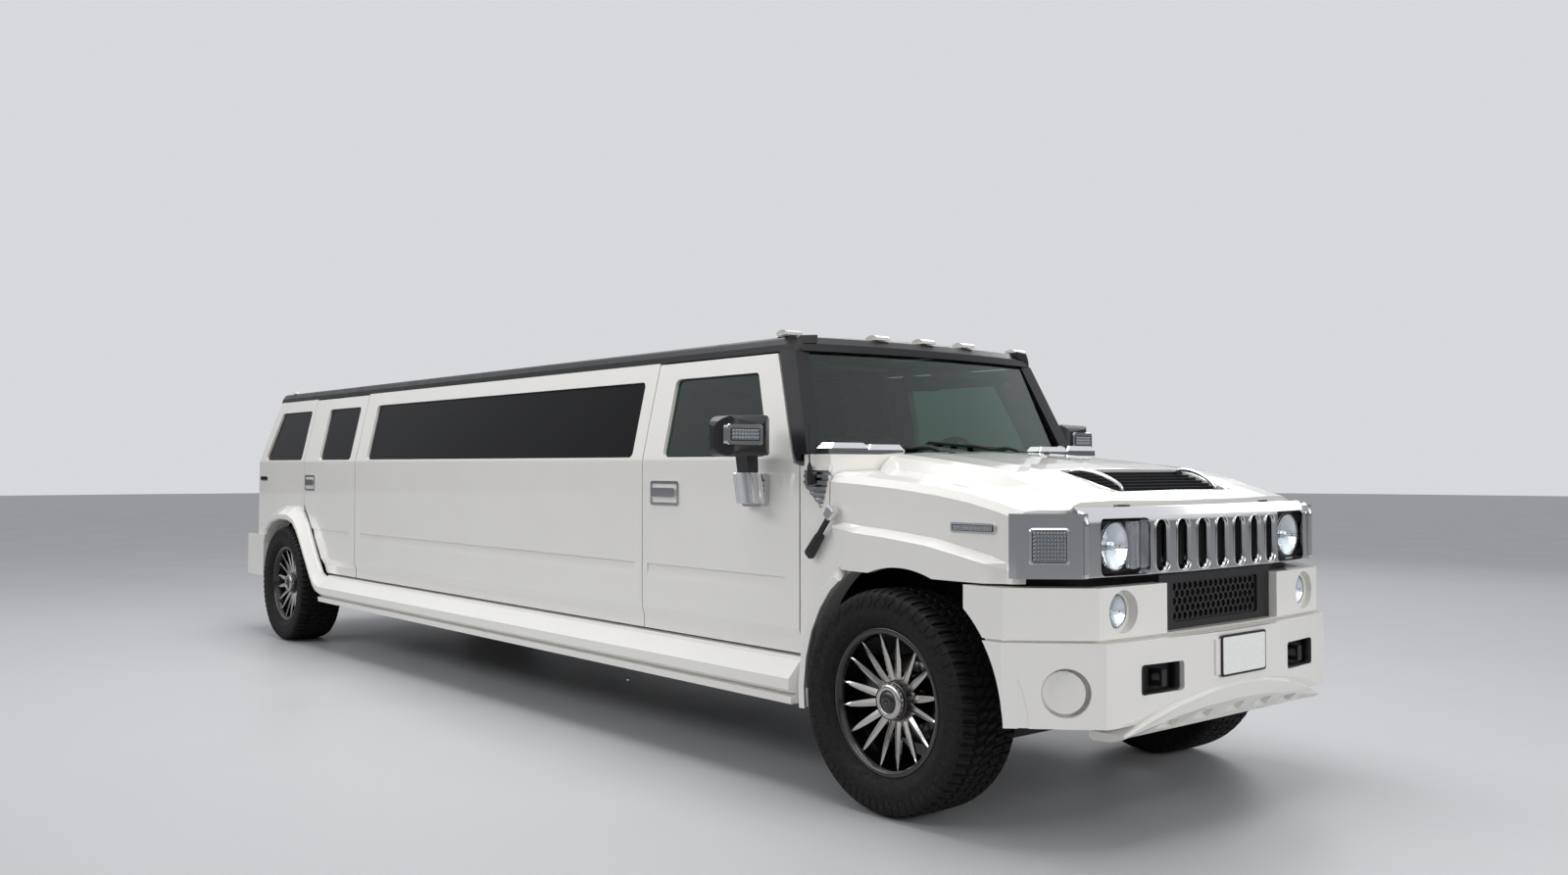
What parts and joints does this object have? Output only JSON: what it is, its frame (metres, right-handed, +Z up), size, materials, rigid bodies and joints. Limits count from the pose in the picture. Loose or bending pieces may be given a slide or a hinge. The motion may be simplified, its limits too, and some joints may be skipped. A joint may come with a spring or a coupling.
{
  "type": "stretch limousine",
  "caption": "Stretched sport utility limousine with hinged doors, forward-tilting hood, lifting tailgate, steered front wheels and a long lounge cabin.",
  "frame": {"origin": "on the ground under the centre of the bounding box", "axes": "+X to the front of the vehicle, +Y to its left, +Z up"},
  "size_m": [8.607, 2.542, 1.9858],
  "materials": {
    "white_paint": "gloss",
    "black_paint": "satin",
    "chrome_trim": "polished",
    "spoke_metal": "polished",
    "clear_glass": "gloss",
    "dark_glass": "gloss",
    "black_plastic": "satin",
    "frame_steel": "satin",
    "cast_metal": "matte",
    "lamp_clear": "gloss",
    "lamp_amber": "gloss",
    "lamp_red": "gloss",
    "seat_leather": "satin",
    "bar_wood": "gloss",
    "tyre_rubber": "matte"
  },
  "bodies": {
    "main_body": {"chassis_frame": "frame_steel", "floor_pan": "frame_steel", "firewall": "black_plastic", "wheel_tubs": "black_plastic", "engine_block": "cast_metal", "driveline": "cast_metal", "front_suspension": "frame_steel", "rear_axle": "frame_steel", "stretch_panels": "white_paint", "quarter_panels": "white_paint", "cowl_panels": "white_paint", "cowl_top": "white_paint", "cowl_vents": "chrome_trim", "roof_panel": "white_paint", "roof_frame": "black_paint", "windscreen": "clear_glass", "fixed_side_glass": "dark_glass", "radiator_support": "black_plastic", "grille": "chrome_trim", "front_lamps": "lamp_clear", "front_bumper": "white_paint", "bumper_insert": "black_plastic", "rear_bumper": "white_paint", "hitch_receiver": "frame_steel", "side_skirts": "white_paint", "roof_marker_lamps": "lamp_amber", "tail_lamps": "lamp_red", "seats": "seat_leather", "lounge_bar": "bar_wood", "dashboard": "black_plastic", "steering_wheel": "black_plastic", "partition": "seat_leather"},
    "hood_lid": {"hood": "white_paint", "hood_vents": "chrome_trim", "hood_hardware": "chrome_trim"},
    "tail_lid": {"tailgate": "white_paint", "tailgate_glass": "dark_glass"},
    "door_fl": {"front_left_door": "white_paint", "front_left_glass": "clear_glass", "left_mirror": "black_plastic"},
    "door_fr": {"front_right_door": "white_paint", "front_right_glass": "clear_glass", "right_mirror": "black_plastic"},
    "door_rl": {"rear_left_door": "white_paint", "rear_left_glass": "dark_glass"},
    "door_rr": {"rear_right_door": "white_paint", "rear_right_glass": "dark_glass"},
    "steer_l": {"left_knuckle": "frame_steel"},
    "steer_r": {"right_knuckle": "frame_steel"},
    "wheel_fl": {"front_left_tyre": "tyre_rubber", "front_left_rim": "spoke_metal"},
    "wheel_fr": {"front_right_tyre": "tyre_rubber", "front_right_rim": "spoke_metal"},
    "wheel_rl": {"rear_left_tyre": "tyre_rubber", "rear_left_rim": "spoke_metal"},
    "wheel_rr": {"rear_right_tyre": "tyre_rubber", "rear_right_rim": "spoke_metal"}
  },
  "joints": [
    {"name": "front_left_door_hinge", "type": "hinge", "parent": "main_body", "child": "door_fl", "pos_m": [2.7395, 0.904, 0.965], "axis": [0, 0, -1], "range_deg": [0, 62]},
    {"name": "front_right_door_hinge", "type": "hinge", "parent": "main_body", "child": "door_fr", "pos_m": [2.7395, -0.904, 0.965], "axis": [0, 0, 1], "range_deg": [0, 62]},
    {"name": "rear_left_door_hinge", "type": "hinge", "parent": "main_body", "child": "door_rl", "pos_m": [-2.1785, 0.904, 0.965], "axis": [0, 0, -1], "range_deg": [0, 62]},
    {"name": "rear_right_door_hinge", "type": "hinge", "parent": "main_body", "child": "door_rr", "pos_m": [-2.1785, -0.904, 0.965], "axis": [0, 0, 1], "range_deg": [0, 62]},
    {"name": "hood_hinge", "type": "hinge", "parent": "main_body", "child": "hood_lid", "pos_m": [4.0755, 0, 1.204], "axis": [0, 1, 0], "range_deg": [0, 55]},
    {"name": "tailgate_hinge", "type": "hinge", "parent": "main_body", "child": "tail_lid", "pos_m": [-3.9913, 0, 1.866], "axis": [0, 1, 0], "range_deg": [0, 85]},
    {"name": "left_steering", "type": "hinge", "parent": "main_body", "child": "steer_l", "pos_m": [3.3575, 0.7705, 0.4445], "axis": [0, 0, 1], "range_deg": [-28, 28]},
    {"name": "right_steering", "type": "hinge", "parent": "main_body", "child": "steer_r", "pos_m": [3.3575, -0.7705, 0.4445], "axis": [0, 0, 1], "range_deg": [-28, 28]},
    {"name": "front_left_wheel_spin", "type": "hinge", "parent": "steer_l", "child": "wheel_fl", "pos_m": [3.3575, 0.8815, 0.4445], "axis": [0, 1, 0], "continuous": true},
    {"name": "front_right_wheel_spin", "type": "hinge", "parent": "steer_r", "child": "wheel_fr", "pos_m": [3.3575, -0.8815, 0.4445], "axis": [0, 1, 0], "continuous": true},
    {"name": "rear_left_wheel_spin", "type": "hinge", "parent": "main_body", "child": "wheel_rl", "pos_m": [-3.3425, 0.8815, 0.4445], "axis": [0, 1, 0], "continuous": true},
    {"name": "rear_right_wheel_spin", "type": "hinge", "parent": "main_body", "child": "wheel_rr", "pos_m": [-3.3425, -0.8815, 0.4445], "axis": [0, 1, 0], "continuous": true}
  ],
  "couplings": [
    {"joint": "right_steering", "follows": "left_steering", "ratio": 1}
  ]
}
